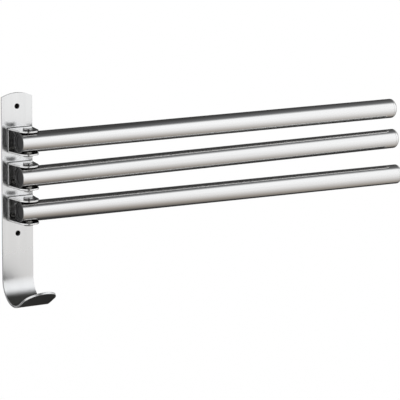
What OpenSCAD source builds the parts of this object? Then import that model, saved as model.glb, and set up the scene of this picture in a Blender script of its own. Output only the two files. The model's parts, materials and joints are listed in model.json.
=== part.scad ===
// Swing arm towel bar. A steel strip is screwed to the wall, and its lower end is bent into a hook.
// Three sheet metal brackets on the strip each hold one round bar, which swings on an upright rivet.
// Sizes are in millimetres. X runs to the right along the wall, Y runs into the wall and Z runs up.
// The origin is midway between the two screw holes, on the back face of the strip.

/* [Wall strip] */
// Width of the strip
strip_w = 31; // [29:0.5:45]
// Thickness of the strip
strip_t = 2; // [1.2:0.1:3]
// Distance between the two screw holes
hole_pitch = 118.5; // [112:0.5:150]
// Diameter of the screw holes
hole_d = 5; // [3.5:0.1:6.5]
// From the upper screw hole to the crown of the arched top end
top_margin = 12.5; // [9:0.5:25]
// Rise of the arched top end over the strip's width
arch_rise = 3.6; // [1:0.1:8]

/* [Hook] */
// From the lower screw hole down to the start of the hook's bend
hook_drop = 41.4; // [20:0.1:70]
// Outer radius of the hook's bend
hook_r = 22.8; // [10:0.1:35]
// Angle by which the tongue rises above the horizontal
tongue_rise = 33; // [0:1:60]
// Straight length of the tongue before its round end
tongue_l = 10.9; // [2:0.1:30]

/* [Hinge brackets] */
// Height of the middle hinge above the centre of the screw holes
hinge_mid_z = -3.5; // [-8:0.5:3]
// Distance from one hinge to the next
hinge_pitch = 32; // [30:0.5:38]
// Distance of the hinge pins to the right of the strip's centre line
hinge_x = 2; // [-2:0.1:2.5]
// Distance of the hinge pins from the front face of the strip
pin_reach = 17.7; // [16.5:0.1:26]
// Thickness of the bracket's sheet
sheet_t = 1.5; // [1:0.1:2]
// Inner radius where the ears fold out of the web
fold_r = 0.4; // [0.2:0.1:1]
// Width of the bracket at the strip
root_w = 23.8; // [18:0.1:26]
// Radius of the round tips of the ears
ear_r = 9.6; // [8:0.1:11]
// Lean of each bracket as welded, in degrees that lift the bar's far end: upper, middle, lower
bracket_lean = [0, 0.37, 0];

/* [Rivets] */
// Diameter of the rivet's shank
pin_d = 5; // [4:0.1:6]
// Diameter of the rivet's heads
head_d = 9; // [8:0.1:12]
// Height of the factory head, above the upper ear
head_h = 2; // [1.2:0.1:2.5]
// Height of the peened head, under the washer
peen_h = 1.5; // [0.8:0.1:2]
// Diameter of the washer under the peened head
washer_d = 10.4; // [9:0.1:14]
// Thickness of the washer
washer_t = 0.5; // [0.3:0.1:1]

/* [Bars] */
// Outer diameter of the bars
tube_d = 19; // [16:0.5:21]
// Wall of the bars
tube_wall = 1; // [0.6:0.1:1.5]
// Length of a bar from its pin to its rounded tip
arm_l = 403; // [150:1:600]
// Length of the end cap that shows
cap_l = 4.5; // [3.5:0.1:10]
// Radius of the end cap's rounded edge
cap_edge_r = 3.5; // [1:0.1:3.5]
// Length of the end cap's spigot inside the bar
spigot_l = 8; // [4:0.5:20]
// Swing of each bar to the front as shown, in degrees: upper, middle, lower
rest_swing = [0.3, 1, 2];

/* [Hinge plug and bush] */
// Depth of the plug's face inside the mouth of the bar
plug_recess = 0.6; // [0.3:0.1:2]
// Length of the plug on the far side of the pin
plug_l = 14; // [8:0.5:40]
// Diameter of the moulded hollow in the plug's face
cup_d = 12; // [4:0.1:13]
// Depth of that hollow
cup_depth = 0.6; // [0.5:0.1:2.5]
// Wall of the nylon bush that turns on the rivet
bush_wall = 1; // [0.6:0.1:1.5]

/* [Clearances] */
// Gap between a bar and each ear
ear_gap = 0.3; // [0.2:0.1:1]
// Gap between each end of the bush and the ear
thrust_gap = 0.1; // [0.05:0.05:0.15]
// Gap between the web and the corner of the bar's mouth as it swings past
swing_gap = 3; // [0.5:0.1:4]
// Radial play of the rivet in the bush and the ears
pin_play = 0.05; // [0.01:0.01:0.1]
// Radial play of the bush, the plug and the spigot in what holds them
fit_play = 0.05; // [0:0.01:0.1]

/* [Hidden] */
TIERS = ["upper", "middle", "lower"];
$fn = 96;
// Amount by which a cutting tool runs past the face that it cuts
cut = 1;
// Number of flats that make up the hook's bend
BEND_STEPS = 40;
// Depth inside the ears' round tips at which their straight flanks end, so that the two cross
flank_bite = 0.05;
// Amount by which the tongue's end radius passes half the strip's width
end_ease = 0.05;

strip_top = hole_pitch / 2 + top_margin;
arch_foot = strip_top - arch_rise;
// Radius of the arc through the strip's two top corners and its crown
arch_r = (pow(strip_w / 2, 2) + pow(arch_rise, 2)) / (2 * arch_rise);
bend_z = -hole_pitch / 2 - hook_drop;
hook_turn = 90 + tongue_rise;
// Radius of the tongue's end, a hair over half the width so that its arc crosses the sides
tongue_r = strip_w / 2 + end_ease;

tube_r = tube_d / 2;
bore_r = tube_r - tube_wall;
pin_r = pin_d / 2;
bush_bore_r = pin_r + pin_play;
bush_r = bush_bore_r + bush_wall;
// Heights of the ears' inner and outer faces above the bar's axis
ear_in = tube_r + ear_gap;
ear_out = ear_in + sheet_t;
fold_out_r = fold_r + sheet_t;
// Length of the bar behind its pin, so that its mouth clears the web
tail_l = sqrt(pow(pin_reach - sheet_t - swing_gap, 2) - pow(tube_r, 2));
// Radius of the worn edge round a rivet's heads, as a part of their height
head_edge = 0.45;

function hinge_z(tier) = hinge_mid_z + (1 - tier) * hinge_pitch;

// A round disc from z = 0 to h, with its upper edge rounded
module soft_disc(r, h, edge) {
    rotate_extrude() {
        square([r - edge, h]);
        square([r, h - edge]);
        translate([r - edge, h - edge])
            intersection() {
                circle(edge);
                square(edge);
            }
    }
}

// Lies along X from x = 0
module along_x() {
    rotate([0, 90, 0]) children();
}

// Moves to the pin of one hinge, level with its bar, and leans as its bracket does
module at_hinge(tier) {
    translate([hinge_x, -strip_t - pin_reach, hinge_z(tier)])
        rotate([0, -bracket_lean[tier], 0])
        children();
}

// Moves to the pin of one hinge and turns X along its bar
module at_bar(tier) {
    at_hinge(tier) rotate([0, 0, -rest_swing[tier]]) children();
}

// Points of one face of the hook's bend, as [distance out from the wall, height]
function bend_arc(r) = [
    for (step = [0:BEND_STEPS])
        let (turn = hook_turn * step / BEND_STEPS)
        [hook_r - r * cos(turn), bend_z - r * sin(turn)]];

function backwards(list) = [for (i = [len(list) - 1:-1:0]) list[i]];

// Side view of the strip: down the wall, round the bend and up the tongue, and back along the inside.
// Both ends run on past their outlines and are trimmed back to them.
module strip_side() {
    outside = bend_arc(hook_r);
    inside = bend_arc(hook_r - strip_t);
    along_tongue = (tongue_l + tongue_r + cut) * [sin(hook_turn), -cos(hook_turn)];
    polygon(concat(
        [[0, strip_top + cut]],
        outside,
        [outside[BEND_STEPS] + along_tongue, inside[BEND_STEPS] + along_tongue],
        backwards(inside),
        [[strip_t, strip_top + cut]]));
}

// Turns a side view, drawn as distance out from the wall and height, into a solid of the given width
module widen(width) {
    rotate([90, 0, -90]) linear_extrude(width, center = true) children();
}

// What is trimmed off above the arched top end, seen from the front
module arch_trim() {
    difference() {
        translate([-strip_w / 2 - cut, arch_foot - cut])
            square([strip_w + 2 * cut, arch_rise + 3 * cut]);
        translate([0, strip_top - arch_r]) circle(arch_r);
    }
}

// What is trimmed off round the tongue's end, seen square to the tongue, which ends downwards
module tongue_trim() {
    difference() {
        translate([-strip_w / 2 - cut, -tongue_l - tongue_r - 2 * cut])
            square([strip_w + 2 * cut, tongue_r + 2 * cut]);
        translate([0, -tongue_l]) circle(tongue_r);
    }
}

// Cuts an outline, drawn as seen from the front, through a strip with its back face at y = 0
module through_strip() {
    translate([0, cut, 0]) rotate([90, 0, 0]) linear_extrude(strip_t + 2 * cut) children();
}

// Moves what is drawn below a straight strip's bend line round the bend, onto the tongue
module on_tongue() {
    translate([0, -hook_r, bend_z])
        rotate([-hook_turn, 0, 0])
        translate([0, hook_r, 0])
        children();
}

module wall_plate() {
    color("silver")
        difference() {
            widen(strip_w) strip_side();
            through_strip() arch_trim();
            on_tongue() through_strip() tongue_trim();
            for (side = [-1, 1])
                translate([0, cut, side * hole_pitch / 2])
                    rotate([90, 0, 0])
                    cylinder(h = strip_t + 2 * cut, d = hole_d);
        }
}

// Side view of a channel: x runs out from the strip, the two folds at x = 0 have radius r
module channel_side(half_h, r, depth) {
    translate([0, -half_h + r]) square([depth, 2 * (half_h - r)]);
    translate([r, -half_h]) square([depth - r, 2 * half_h]);
    for (side = [-1, 1])
        translate([r, side * (half_h - r)]) circle(r);
}

// The ears' shape from above, full height, round the pin: straight flanks from the folds to a round tip
module ear_block() {
    flank_y = pin_reach - fold_out_r;
    flank_d = norm([root_w / 2, flank_y]);
    flank_r = ear_r - flank_bite;
    // Direction from the pin to the point where the flank runs into the round tip
    touch = atan2(flank_y, root_w / 2) - acos(flank_r / flank_d);
    touch_x = flank_r * cos(touch);
    touch_y = flank_r * sin(touch);
    cylinder(h = 2 * ear_out, r = ear_r, center = true);
    linear_extrude(2 * ear_out, center = true)
        polygon([
            [root_w / 2, pin_reach], [root_w / 2, flank_y], [touch_x, touch_y],
            [-touch_x, touch_y], [-root_w / 2, flank_y], [-root_w / 2, pin_reach]]);
}

module bracket(tier) {
    ear_l = pin_reach + ear_r;
    color("gainsboro")
        at_hinge(tier)
        difference() {
            intersection() {
                translate([0, pin_reach, 0])
                    widen(root_w)
                    difference() {
                        channel_side(ear_out, fold_out_r, ear_l + cut);
                        translate([sheet_t, 0]) channel_side(ear_in, fold_r, ear_l + cut);
                    }
                ear_block();
            }
            cylinder(h = 2 * ear_out + 2 * cut, r = pin_r + pin_play, center = true);
        }
}

module rivet(tier) {
    color("lightgray")
        at_hinge(tier) {
            shank_foot = -ear_out - washer_t;
            translate([0, 0, shank_foot]) cylinder(h = ear_out - shank_foot, r = pin_r);
            translate([0, 0, ear_out]) soft_disc(head_d / 2, head_h, head_edge * head_h);
            translate([0, 0, shank_foot])
                mirror([0, 0, 1])
                soft_disc(head_d / 2, peen_h, head_edge * peen_h);
        }
}

module washer(tier) {
    color("darkgray")
        at_hinge(tier)
        translate([0, 0, -ear_out - washer_t])
        difference() {
            cylinder(h = washer_t, d = washer_d);
            translate([0, 0, -cut]) cylinder(h = washer_t + 2 * cut, r = pin_r + pin_play);
        }
}

module bar(tier) {
    color("silver")
        at_bar(tier)
        difference() {
            translate([-tail_l, 0, 0]) along_x() cylinder(h = tail_l + arm_l - cap_l, r = tube_r);
            translate([-tail_l - cut, 0, 0])
                along_x()
                cylinder(h = tail_l + arm_l - cap_l + 2 * cut, r = bore_r);
            cylinder(h = 2 * (tube_r + cut), r = bush_r + fit_play, center = true);
        }
}

module end_cap(tier) {
    color("gainsboro")
        at_bar(tier)
        translate([arm_l - cap_l, 0, 0])
        along_x() {
            soft_disc(tube_r, cap_l, cap_edge_r);
            translate([0, 0, -spigot_l]) cylinder(h = spigot_l, r = bore_r - fit_play);
        }
}

module hinge_plug(tier) {
    mouth = tail_l - plug_recess;
    color([0.12, 0.12, 0.13])
        at_bar(tier)
        difference() {
            translate([-mouth, 0, 0]) along_x() cylinder(h = mouth + plug_l, r = bore_r - fit_play);
            translate([-mouth - cut, 0, 0]) along_x() cylinder(h = cup_depth + cut, d = cup_d);
            cylinder(h = tube_d, r = bush_r + fit_play, center = true);
        }
}

module bush(tier) {
    color("whitesmoke")
        at_bar(tier)
        difference() {
            cylinder(h = 2 * (ear_in - thrust_gap), r = bush_r, center = true);
            cylinder(h = 2 * (ear_in + cut), r = bush_bore_r, center = true);
        }
}

wall_plate();
for (tier = [0:2]) {
    bracket(tier);
    rivet(tier);
    washer(tier);
    bar(tier);
    end_cap(tier);
    hinge_plug(tier);
    bush(tier);
}
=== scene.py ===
import json
import math

import bpy
from mathutils import Matrix, Vector

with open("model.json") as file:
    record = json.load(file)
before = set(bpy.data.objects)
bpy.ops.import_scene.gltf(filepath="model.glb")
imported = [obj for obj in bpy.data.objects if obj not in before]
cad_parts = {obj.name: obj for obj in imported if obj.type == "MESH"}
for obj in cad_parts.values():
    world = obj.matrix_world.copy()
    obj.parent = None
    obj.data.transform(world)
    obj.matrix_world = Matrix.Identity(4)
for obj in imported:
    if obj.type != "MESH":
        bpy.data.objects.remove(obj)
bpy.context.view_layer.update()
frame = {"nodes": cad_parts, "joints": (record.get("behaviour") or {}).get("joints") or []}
bpy.ops.object.select_all(action="DESELECT")


# The wall strip is one length of 2 mm stainless sheet, blanked with an arched top and two screw holes.
# Its foot is rolled forward into the hook. The face is belt brushed down its length, and the sheared
# edges are left a little rounded.
def add_node(tree, kind, place=(0, 0), **values):
    made = tree.nodes.new(kind)
    made.location = place
    for name, value in values.items():
        setattr(made, name, value)
    return made


def compute(tree, operation, *values):
    """One step of arithmetic. Each value is a number or the socket that it comes from."""
    made = add_node(tree, "ShaderNodeMath", operation=operation)
    for socket, value in zip(made.inputs, values):
        if isinstance(value, (int, float)):
            socket.default_value = value
        else:
            tree.links.new(value, socket)
    return made.outputs["Value"]


def zone(tree, value, start, end):
    """A mask that rises softly from 0 at start to 1 at end."""
    made = add_node(tree, "ShaderNodeMapRange", interpolation_type="SMOOTHSTEP")
    made.inputs["From Min"].default_value = start
    made.inputs["From Max"].default_value = end
    tree.links.new(value, made.inputs["Value"])
    return made.outputs["Result"]


SCRATCH_SCALE = 2500.0
STREAK_SCALE = 180.0
GRAIN_STRETCH = (0.02, 1.0, 1.0)
GRAIN_CONTRAST = (0.3, 0.7)


def brushed_grain_group():
    """Fine parallel scratches and broader streaks along the X of the vector that it is given."""
    group = bpy.data.node_groups.new("brushed_grain", "ShaderNodeTree")
    socket = group.interface.new_socket
    socket("Vector", in_out="INPUT", socket_type="NodeSocketVector")
    socket("Scratch", in_out="OUTPUT", socket_type="NodeSocketFloat")
    socket("Streak", in_out="OUTPUT", socket_type="NodeSocketFloat")
    entry = add_node(group, "NodeGroupInput", (-600, 0))
    leave = add_node(group, "NodeGroupOutput", (500, 0))
    link = group.links.new
    long = add_node(group, "ShaderNodeVectorMath", (-400, 0), operation="MULTIPLY")
    long.inputs[1].default_value = GRAIN_STRETCH
    link(entry.outputs["Vector"], long.inputs[0])
    scales = (("Scratch", SCRATCH_SCALE, 3.0, 120), ("Streak", STREAK_SCALE, 2.0, -160))
    for output, scale, detail, height in scales:
        noise = add_node(group, "ShaderNodeTexNoise", (-150, height))
        noise.inputs["Scale"].default_value = scale
        noise.inputs["Detail"].default_value = detail
        noise.inputs["Roughness"].default_value = 0.6
        link(long.outputs["Vector"], noise.inputs["Vector"])
        spread = add_node(group, "ShaderNodeMapRange", (150, height))
        spread.inputs["From Min"].default_value = GRAIN_CONTRAST[0]
        spread.inputs["From Max"].default_value = GRAIN_CONTRAST[1]
        link(noise.outputs["Fac"], spread.inputs["Value"])
        link(spread.outputs["Result"], leave.inputs[output])
    return group


def soft_edge_group():
    """The normal across the rounded sheared or turned edge of a metal part."""
    group = bpy.data.node_groups.new("soft_edge", "ShaderNodeTree")
    socket = group.interface.new_socket
    socket("Radius", in_out="INPUT", socket_type="NodeSocketFloat")
    socket("Normal", in_out="OUTPUT", socket_type="NodeSocketVector")
    entry = add_node(group, "NodeGroupInput", (-300, 0))
    leave = add_node(group, "NodeGroupOutput", (300, 0))
    bevel = add_node(group, "ShaderNodeBevel", (0, 0), samples=6)
    group.links.new(entry.outputs["Radius"], bevel.inputs["Radius"])
    group.links.new(bevel.outputs["Normal"], leave.inputs["Normal"])
    return group


BRUSHED_GRAIN = brushed_grain_group()
SOFT_EDGE = soft_edge_group()
STREAK_TONE = 0.94
STREAK_ROUGHNESS = (0.8, 1.25)
# Painted shade: an occlusion mask darkens the steel's colour in the narrow gaps where the parts meet
GAP_PAINTED_SHADE = (0.08, 0.08, 0.078, 1.0)
GAP_FADE = 0.42


def brushed_steel(name, tone, grain_turn, roughness, bump, edge_radius, gap_reach=0.0015, gap_open=0.82):
    """Brushed stainless steel. grain_turn turns the object's axes so that X runs along the scratches."""
    material = bpy.data.materials.new(name)
    material.use_nodes = True
    tree = material.node_tree
    link = tree.links.new
    steel = tree.nodes["Principled BSDF"]
    steel.inputs["Metallic"].default_value = 1.0
    place = add_node(tree, "ShaderNodeTexCoord", (-1100, 0))
    turn = add_node(tree, "ShaderNodeMapping", (-900, 0), vector_type="TEXTURE")
    turn.inputs["Rotation"].default_value = grain_turn
    link(place.outputs["Object"], turn.inputs["Vector"])
    grain = add_node(tree, "ShaderNodeGroup", (-680, 0), node_tree=BRUSHED_GRAIN)
    link(turn.outputs["Vector"], grain.inputs["Vector"])
    edge = add_node(tree, "ShaderNodeGroup", (-680, -300), node_tree=SOFT_EDGE)
    edge.inputs["Radius"].default_value = edge_radius
    colour = add_node(tree, "ShaderNodeMix", (-400, 200), data_type="RGBA")
    colour.inputs["A"].default_value = tuple(channel * STREAK_TONE for channel in tone) + (1.0,)
    colour.inputs["B"].default_value = tuple(tone) + (1.0,)
    link(grain.outputs["Streak"], colour.inputs["Factor"])
    # Painted shade in narrow gaps: where little light reaches, the colour goes dark
    gap = add_node(tree, "ShaderNodeAmbientOcclusion", (-680, 450), samples=6)
    gap.inputs["Distance"].default_value = gap_reach
    gap_shaded = add_node(tree, "ShaderNodeMix", (-150, 250), data_type="RGBA")
    gap_shaded.inputs["A"].default_value = GAP_PAINTED_SHADE
    link(zone(tree, gap.outputs["AO"], gap_open - GAP_FADE, gap_open), gap_shaded.inputs["Factor"])
    link(colour.outputs["Result"], gap_shaded.inputs["B"])
    link(gap_shaded.outputs["Result"], steel.inputs["Base Color"])
    rough = add_node(tree, "ShaderNodeMapRange", (-400, -40))
    rough.inputs["To Min"].default_value = roughness * STREAK_ROUGHNESS[0]
    rough.inputs["To Max"].default_value = roughness * STREAK_ROUGHNESS[1]
    link(grain.outputs["Streak"], rough.inputs["Value"])
    link(rough.outputs["Result"], steel.inputs["Roughness"])
    lift = add_node(tree, "ShaderNodeBump", (-300, -300))
    lift.inputs["Strength"].default_value = 1.0
    lift.inputs["Distance"].default_value = bump
    link(grain.outputs["Scratch"], lift.inputs["Height"])
    link(edge.outputs["Normal"], lift.inputs["Normal"])
    link(lift.outputs["Normal"], steel.inputs["Normal"])
    return material


def repaint(material, mask, finish_or_shade):
    """Lays another finish, or painted shade, over the steel's own colour where the mask is 1."""
    tree = material.node_tree
    base = tree.nodes["Principled BSDF"].inputs["Base Color"]
    made = add_node(tree, "ShaderNodeMix", (-150, 500), data_type="RGBA")
    made.inputs["B"].default_value = finish_or_shade
    tree.links.new(mask, made.inputs["Factor"])
    tree.links.new(base.links[0].from_socket, made.inputs["A"])
    tree.links.new(made.outputs["Result"], base)


def finish_node(node, material):
    slots = frame["nodes"][node].data.materials
    slots.clear()
    slots.append(material)


GRAIN_DOWN = (0.0, math.radians(90), 0.0)
strip_steel = brushed_steel(
    "strip_steel", (0.955, 0.96, 0.963), GRAIN_DOWN, roughness=0.2, bump=0.000002, edge_radius=0.0005)
finish_node("wall_plate", strip_steel)

# The bend and the tongue are darkened with painted shade. The sheared edges there are left out of
# it and keep the plain steel colour: sides face along X, and the tongue's tip faces TONGUE_WAY.
HOOK_PAINTED_SHADE = (0.28, 0.28, 0.27, 1.0)
TONGUE_WAY = (0.0, -0.839, 0.545)
BEND_Z = (-0.1135, -0.1175)
TONGUE_Y = (-0.016, -0.022)
TIP_Y = (-0.041, -0.037)
SIDE_FACING = (0.25, 0.10)
TIP_FACING = (0.80, 0.50)
tree = strip_steel.node_tree
place = add_node(tree, "ShaderNodeTexCoord", (-1300, 700))
spot = add_node(tree, "ShaderNodeSeparateXYZ", (-1100, 700))
tree.links.new(place.outputs["Object"], spot.inputs["Vector"])
facing = add_node(tree, "ShaderNodeSeparateXYZ", (-1100, 500))
tree.links.new(place.outputs["Normal"], facing.inputs["Vector"])
along = add_node(tree, "ShaderNodeVectorMath", (-1100, 350), operation="DOT_PRODUCT")
along.inputs[1].default_value = TONGUE_WAY
tree.links.new(place.outputs["Normal"], along.inputs[0])
in_bend = zone(tree, spot.outputs["Z"], *BEND_Z)
on_tongue = zone(tree, spot.outputs["Y"], *TONGUE_Y)
in_hook = compute(tree, "MAXIMUM", in_bend, on_tongue)
not_side = zone(tree, compute(tree, "ABSOLUTE", facing.outputs["X"]), *SIDE_FACING)
before_tip = zone(tree, spot.outputs["Y"], *TIP_Y)
not_tip = compute(tree, "MAXIMUM", zone(tree, along.outputs["Value"], *TIP_FACING), before_tip)
flat = compute(tree, "MULTIPLY", not_side, not_tip)
# Painted shade over the bend and the tongue, but not over their edges
repaint(strip_steel, compute(tree, "MULTIPLY", in_hook, flat), HOOK_PAINTED_SHADE)

# Towards the bend the brushing is coarser, so the strip mirrors the hook only softly
COARSE_Z = (-0.065, -0.085)
COARSER_BY = 0.13
steel_roughness = tree.nodes["Principled BSDF"].inputs["Roughness"]
even = steel_roughness.links[0].from_socket
coarser = compute(tree, "MULTIPLY_ADD", zone(tree, spot.outputs["Z"], *COARSE_Z), COARSER_BY, even)
tree.links.new(coarser, steel_roughness)

# The walls of the punched screw holes are darkened with painted shade. They lie near the middle line,
# between the ends, and face away from Y.
HOLE_PAINTED_SHADE = (0.05, 0.05, 0.05, 1.0)
HOLE_X = (0.0050, 0.0045)
HOLE_Z = (0.0670, 0.0660)
WALL_FACING = (0.60, 0.40)
near_middle = zone(tree, compute(tree, "ABSOLUTE", spot.outputs["X"]), *HOLE_X)
between_ends = zone(tree, compute(tree, "ABSOLUTE", spot.outputs["Z"]), *HOLE_Z)
hole_wall = zone(tree, compute(tree, "ABSOLUTE", facing.outputs["Y"]), *WALL_FACING)
by_hole = compute(tree, "MULTIPLY", near_middle, between_ends)
# Painted shade on the walls of the screw holes
repaint(strip_steel, compute(tree, "MULTIPLY", by_hole, hole_wall), HOLE_PAINTED_SHADE)


# The hinge brackets are blanked from 1.5 mm stainless sheet and folded into a U, then spot welded
# to the strip by their webs. The ears taper to a round tip round the rivet.
TIERS = ("upper", "middle", "lower")
bracket_steel = brushed_steel(
    "bracket_steel", (0.95, 0.95, 0.95), GRAIN_DOWN, roughness=0.18, bump=0.000002, edge_radius=0.0007,
    gap_reach=0.002)
for tier in TIERS:
    finish_node(f"{tier}_bracket", bracket_steel)


# The rivets are turned steel pins. Their factory heads lie on the upper ears, and the lower ends are
# peened over a plain washer. They are smoother than the sheet, and painted shade darkens the gaps round
# their heads.
rivet_steel = brushed_steel(
    "rivet_steel", (0.92, 0.92, 0.92), (0.0, 0.0, 0.0), roughness=0.12, bump=0.000001, edge_radius=0.0002,
    gap_reach=0.004, gap_open=0.97)
for tier in TIERS:
    finish_node(f"{tier}_rivet", rivet_steel)
    finish_node(f"{tier}_washer", rivet_steel)


# The bars are 19 mm stainless tube, brushed along their length, so the grain is turned by each bar's
# own swing at rest. Their sawn mouths face the strip, and are duller and darker than the brushed side.
SAWN_FINISH = (0.22, 0.22, 0.22, 1.0)
MOUTH_FACING = (-0.6, -0.85)
swing_at_rest = {joint["child"]: -math.radians(joint["range_deg"][0]) for joint in frame["joints"]}
for tier in TIERS:
    swing = swing_at_rest[f"{tier}_arm"]
    bar_steel = brushed_steel(
        f"{tier}_bar_steel", (0.90, 0.895, 0.89), (0.0, 0.0, -swing), roughness=0.13, bump=0.000002,
        edge_radius=0.0003, gap_reach=0.0035)
    finish_node(f"{tier}_bar", bar_steel)
    finish_node(f"{tier}_end_cap", bar_steel)
    tree = bar_steel.node_tree
    place = add_node(tree, "ShaderNodeTexCoord", (-1100, 700))
    facing = add_node(tree, "ShaderNodeSeparateXYZ", (-900, 700))
    tree.links.new(place.outputs["Normal"], facing.inputs["Vector"])
    repaint(bar_steel, zone(tree, facing.outputs["X"], *MOUTH_FACING), SAWN_FINISH)


# The hinge plugs are moulded black nylon, pushed into the mouths of the bars. They have the faint
# sheen and grain of a moulded part.
NYLON_GRAIN_SCALE = 900.0
NYLON_GRAIN_HEIGHT = 0.00002
NYLON_LOW_TONE = 0.8
NYLON_ROUGHNESS = (0.85, 1.15)


def nylon(name, tone, roughness):
    material = bpy.data.materials.new(name)
    material.use_nodes = True
    tree = material.node_tree
    link = tree.links.new
    plastic = tree.nodes["Principled BSDF"]
    place = add_node(tree, "ShaderNodeTexCoord", (-900, 0))
    grain = add_node(tree, "ShaderNodeTexNoise", (-700, 0))
    grain.inputs["Scale"].default_value = NYLON_GRAIN_SCALE
    grain.inputs["Detail"].default_value = 3.0
    link(place.outputs["Object"], grain.inputs["Vector"])
    colour = add_node(tree, "ShaderNodeMix", (-400, 200), data_type="RGBA")
    colour.inputs["A"].default_value = tuple(channel * NYLON_LOW_TONE for channel in tone) + (1.0,)
    colour.inputs["B"].default_value = tuple(tone) + (1.0,)
    link(grain.outputs["Fac"], colour.inputs["Factor"])
    link(colour.outputs["Result"], plastic.inputs["Base Color"])
    rough = add_node(tree, "ShaderNodeMapRange", (-400, -40))
    rough.inputs["To Min"].default_value = roughness * NYLON_ROUGHNESS[0]
    rough.inputs["To Max"].default_value = roughness * NYLON_ROUGHNESS[1]
    link(grain.outputs["Fac"], rough.inputs["Value"])
    link(rough.outputs["Result"], plastic.inputs["Roughness"])
    lift = add_node(tree, "ShaderNodeBump", (-300, -300))
    lift.inputs["Distance"].default_value = NYLON_GRAIN_HEIGHT
    link(grain.outputs["Fac"], lift.inputs["Height"])
    link(lift.outputs["Normal"], plastic.inputs["Normal"])
    return material


black_nylon = nylon("black_nylon", (0.030, 0.030, 0.031), 0.5)
for tier in TIERS:
    finish_node(f"{tier}_hinge_plug", black_nylon)


# The bushes are turned from natural nylon rod. Each runs through its bar and plug, turns on the
# rivet, and keeps the steel tube off the ears.
white_nylon = nylon("white_nylon", (0.75, 0.74, 0.70), 0.4)
for tier in TIERS:
    finish_node(f"{tier}_bush", white_nylon)


# The studio is a round light tent, which only the reflections see. A broad soft light stands in front
# and at the right, grey cloth hangs behind, and dark cloth over a bright window is at the left.
TENT_CENTRE = Vector((0.20, -0.02, 0.0))
TENT_R = 1.0
# Bearing round the bars in degrees, from below (-90) over level (0) to above (90), light and warmth
TENT_LEVELS = (
    (-180, 0.04, 0.0), (-125, 0.04, 0.0), (-90, 0.24, 0.09), (-70, 0.34, 0.09), (-10, 0.89, 0.0),
    (20, 1.03, -0.01), (55, 1.05, -0.01), (70, 0.30, -0.02), (80, 0.15, -0.02), (120, 0.06, 0.0),
    (180, 0.04, 0.0))
LIGHT_MIDDLE = 15.0
LIGHT_SPREAD = (0.75, 1.25)
FLOOR_END = (-96.0, -108.0)
FLOOR_END_SHADE = 0.04
# Where each cloth starts and where it is whole, from the tent's middle (0) to its skin (1)
BEHIND_Y = (-0.05, 0.15)
GAP_LEFT_X = (0.24, 0.12)
GAP_RIGHT_X = (0.72, 0.84)
CLOTH_Z = (-0.50, -0.28)
CLOTH_SHADES = (0.10, 0.55)
LEFT_X = (0.15, -0.30)
LEFT_Y = (0.15, -0.05)
LEFT_Z = (-0.08, 0.08)
LEFT_SHADE = 0.10
WINDOW_X = (-0.45, -0.62)
WINDOW_Y = (0.40, 0.75)
WINDOW_Z = (0.48, 0.38)
WINDOW_SHADES = (0.90, 0.42)
TABLE_X = (-0.35, -0.50)
TABLE_Z = (-0.268, -0.284)
TABLE_SHADE = 0.05
STEEP_Z = (0.30, 0.45)
HIDDEN_X = (0.10, -0.20)
HIDDEN_SHARE = 0.3
HIDDEN_SHADE = 0.05


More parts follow.
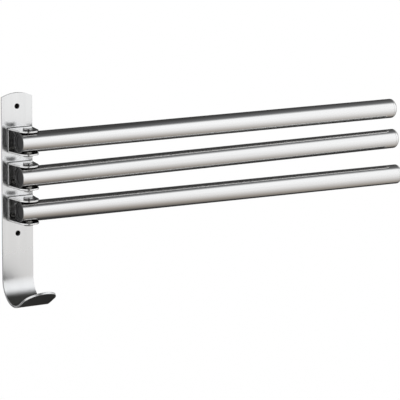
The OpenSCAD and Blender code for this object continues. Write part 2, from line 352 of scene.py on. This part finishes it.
def tent_material():
    material = bpy.data.materials.new("tent")
    material.use_nodes = True
    tree = material.node_tree
    tree.nodes.clear()
    link = tree.links.new

    def mix(mask, first, second):
        made = add_node(tree, "ShaderNodeMix", data_type="RGBA")
        link(mask, made.inputs["Factor"])
        for socket, value in ((made.inputs["A"], first), (made.inputs["B"], second)):
            if isinstance(value, float):
                socket.default_value = (value, value, value, 1.0)
            else:
                link(value, socket)
        return made.outputs["Result"]

    def both(first, second):
        return compute(tree, "MULTIPLY", first, second)

    place = add_node(tree, "ShaderNodeTexCoord", (-1600, 0))
    unit = add_node(tree, "ShaderNodeVectorMath", (-1400, 0), operation="NORMALIZE")
    link(place.outputs["Object"], unit.inputs[0])
    parts = add_node(tree, "ShaderNodeSeparateXYZ", (-1200, 0))
    link(unit.outputs["Vector"], parts.inputs["Vector"])
    x, y, z = parts.outputs
    forwards = compute(tree, "MULTIPLY", y, -1.0)
    bearing = compute(tree, "MULTIPLY", compute(tree, "ARCTAN2", z, forwards), 180 / math.pi)
    level = add_node(tree, "ShaderNodeValToRGB", (-200, 0))
    stops = level.color_ramp.elements
    while len(stops) < len(TENT_LEVELS):
        stops.new(0.5)
    for stop, (degrees, grey, warmth) in zip(stops, TENT_LEVELS):
        stop.position = (degrees + 180) / 360
        stop.color = (grey * (1 + warmth), grey, grey * (1 - warmth), 1.0)
    # The light's upper and lower edges open out to the right
    wider = compute(tree, "MAXIMUM", compute(tree, "ADD", x, 0.5), LIGHT_SPREAD[0])
    spread = compute(tree, "MINIMUM", wider, LIGHT_SPREAD[1])
    off_middle = compute(tree, "DIVIDE", compute(tree, "SUBTRACT", bearing, LIGHT_MIDDLE), spread)
    opened = compute(tree, "ADD", off_middle, LIGHT_MIDDLE)
    link(compute(tree, "DIVIDE", compute(tree, "ADD", opened, 180.0), 360.0), level.inputs["Fac"])
    # Straight below the bars the light floor ends
    light = mix(zone(tree, bearing, *FLOOR_END), level.outputs["Color"], FLOOR_END_SHADE)
    # Grey cloth hangs behind the object, on both sides of a dark gap that the bars' edges mirror
    beside_gap = compute(tree, "ADD", zone(tree, x, *GAP_LEFT_X), zone(tree, x, *GAP_RIGHT_X))
    cloth = mix(zone(tree, z, *CLOTH_Z), *CLOTH_SHADES)
    light = mix(both(zone(tree, y, *BEHIND_Y), beside_gap), light, cloth)
    # In front the light ends at the left, where dark cloth hangs over a bright window at eye level
    to_left = both(zone(tree, x, *LEFT_X), zone(tree, y, *LEFT_Y))
    light = mix(both(to_left, zone(tree, z, *LEFT_Z)), light, LEFT_SHADE)
    window = mix(zone(tree, y, *WINDOW_Y), *WINDOW_SHADES)
    light = mix(both(zone(tree, x, *WINDOW_X), zone(tree, z, *WINDOW_Z)), light, window)
    # Below the window is the dark edge of the table
    light = mix(both(zone(tree, x, *TABLE_X), zone(tree, z, *TABLE_Z)), light, TABLE_SHADE)
    # What the metal mirrors twice, inside the hook and between ear and bar, shows the dark cloth
    # above, below and to the left
    path = add_node(tree, "ShaderNodeLightPath", (200, -200))
    twice = zone(tree, path.outputs["Ray Depth"], 1.0, 2.0)
    steep = zone(tree, compute(tree, "ABSOLUTE", z), *STEEP_Z)
    left_share = compute(tree, "MULTIPLY", zone(tree, x, *HIDDEN_X), HIDDEN_SHARE)
    hidden = compute(tree, "MAXIMUM", steep, left_share)
    light = mix(both(twice, hidden), light, HIDDEN_SHADE)
    glow = add_node(tree, "ShaderNodeEmission", (500, 0))
    link(light, glow.inputs["Color"])
    out = add_node(tree, "ShaderNodeOutputMaterial", (700, 0))
    link(glow.outputs["Emission"], out.inputs["Surface"])
    return material


bpy.ops.mesh.primitive_uv_sphere_add(segments=96, ring_count=48, radius=TENT_R, location=TENT_CENTRE)
tent = bpy.context.object
tent.name = "light_tent"
tent.data.materials.append(tent_material())
tent.visible_camera = False
tent.visible_shadow = False
tent.visible_diffuse = False
bpy.ops.object.shade_smooth()


# The camera and its stand are one dark upright shape in front to the left. It shows as a thin dark
# stripe on each upright round surface.
def dark_card(name, corners, shade):
    mesh = bpy.data.meshes.new(name)
    mesh.from_pydata(corners, [], [(0, 1, 2, 3)])
    card = bpy.data.objects.new(name, mesh)
    bpy.context.scene.collection.objects.link(card)
    material = bpy.data.materials.new(name)
    material.use_nodes = True
    paint = material.node_tree.nodes["Principled BSDF"]
    paint.inputs["Base Color"].default_value = (shade, shade, shade, 1.0)
    paint.inputs["Roughness"].default_value = 0.9
    paint.inputs["Specular IOR Level"].default_value = 0.1
    mesh.materials.append(material)
    card.visible_shadow = False
    return card


def card_corners(foot, sideways, low, high):
    """The corners of an upright card, from half its width, its lower edge and its upper edge."""
    return [
        foot + sideways * side + Vector((0.0, 0.0, height))
        for side, height in ((-1, low), (1, low), (1, high), (-1, high))]


STAND_BEARING = math.radians(20.0)
STAND_FAR = 0.85
STAND_HALF_W = 0.13
STAND_LOW = -0.30
STAND_HIGH = 0.55
to_stand = Vector((-math.sin(STAND_BEARING), -math.cos(STAND_BEARING), 0.0))
across = Vector((math.cos(STAND_BEARING), -math.sin(STAND_BEARING), 0.0))
stand_corners = card_corners(to_stand * STAND_FAR, across * STAND_HALF_W, STAND_LOW, STAND_HIGH)
camera_stand = dark_card("camera_stand", stand_corners, shade=0.02)
camera_stand.visible_camera = False


# A small dark card hangs behind the strip as painted shade, so that the screw holes look dark as they do
# on a wall. It can be seen from the front only.
HOLE_CARD_FOOT = Vector((0.0, 0.004, 0.0))
HOLE_CARD_HALF_W = Vector((0.006, 0.0, 0.0))
HOLE_CARD_LOW = -0.075
HOLE_CARD_HIGH = 0.066
hole_corners = card_corners(HOLE_CARD_FOOT, HOLE_CARD_HALF_W, HOLE_CARD_LOW, HOLE_CARD_HIGH)
hole_shade_card = dark_card("hole_shade_card", hole_corners, shade=0.01)
hole_shade_card.visible_glossy = False
tree = hole_shade_card.data.materials[0].node_tree
from_behind = add_node(tree, "ShaderNodeNewGeometry", (0, 300))
clear = add_node(tree, "ShaderNodeBsdfTransparent", (0, -300))
one_sided = add_node(tree, "ShaderNodeMixShader", (400, 0))
tree.links.new(from_behind.outputs["Backfacing"], one_sided.inputs["Fac"])
tree.links.new(tree.nodes["Principled BSDF"].outputs["BSDF"], one_sided.inputs[1])
tree.links.new(clear.outputs["BSDF"], one_sided.inputs[2])
tree.links.new(one_sided.outputs["Shader"], tree.nodes["Material Output"].inputs["Surface"])


# The studio floor is pale, well below the hook. Floor and surround are lit evenly, and both are
# brought up to plain white where the camera, a reflection or clear glass looks at them.
WHITE = (1.0, 1.0, 1.0, 1.0)
FLOOR_TONE = 0.8
FLOOR_SIZE = 12.0
FLOOR_DROP = 0.05
bpy.ops.mesh.primitive_plane_add(size=FLOOR_SIZE, location=(0.0, 0.0, -TENT_R - FLOOR_DROP))
floor = bpy.context.object
floor.name = "studio_floor"
floor_paint = bpy.data.materials.new("studio_floor")
floor_paint.use_nodes = True
tree = floor_paint.node_tree
paint = tree.nodes["Principled BSDF"]
paint.inputs["Base Color"].default_value = (FLOOR_TONE, FLOOR_TONE, FLOOR_TONE, 1.0)
paint.inputs["Roughness"].default_value = 1.0
paint.inputs["Specular IOR Level"].default_value = 0.0
paint.inputs["Emission Color"].default_value = WHITE
path = add_node(tree, "ShaderNodeLightPath", (-700, 0))
seen = compute(tree, "MAXIMUM", path.outputs["Is Camera Ray"], path.outputs["Is Glossy Ray"])
looked_at = compute(tree, "MAXIMUM", seen, path.outputs["Is Transmission Ray"])
lift = compute(tree, "MULTIPLY", looked_at, 1.0 - FLOOR_TONE)
tree.links.new(lift, paint.inputs["Emission Strength"])
floor.data.materials.append(floor_paint)

world = bpy.data.worlds.new("white_surround")
bpy.context.scene.world = world
world.use_nodes = True
surround = world.node_tree.nodes["Background"]
surround.inputs["Color"].default_value = WHITE
surround.inputs["Strength"].default_value = 1.0


# The camera stands to the left of the object and a little above it, with a long lens. It aims at the
# point of the strip's front face level with the origin, which the photograph shows at AIM_PIXEL.
CAMERA_YAW = 30.945
CAMERA_PITCH = 11.416
CAMERA_ROLL = 0.381
LENS_PIXELS = 2500.0
FRAME_PIXELS = 400.0
AIM = Vector((0.0, -0.002, 0.0))
AIM_PIXEL = (17.451, 169.991)
AIM_DISTANCE = 2.2915

turned = (Matrix.Rotation(math.radians(-CAMERA_YAW), 4, "Z")
          @ Matrix.Rotation(math.radians(90 - CAMERA_PITCH), 4, "X")
          @ Matrix.Rotation(math.radians(CAMERA_ROLL), 4, "Z"))
offset = Vector((
    (AIM_PIXEL[0] - FRAME_PIXELS / 2) / LENS_PIXELS * AIM_DISTANCE,
    (FRAME_PIXELS / 2 - AIM_PIXEL[1]) / LENS_PIXELS * AIM_DISTANCE,
    -AIM_DISTANCE))
camera_data = bpy.data.cameras.new("camera")
camera_data.sensor_width = 36.0
camera_data.lens = LENS_PIXELS / FRAME_PIXELS * camera_data.sensor_width
camera_data.clip_end = 20.0
camera = bpy.data.objects.new("camera", camera_data)
bpy.context.scene.collection.objects.link(camera)
camera.matrix_world = Matrix.Translation(AIM - turned.to_3x3() @ offset) @ turned
bpy.context.scene.camera = camera
bpy.context.scene.view_settings.view_transform = "Standard"
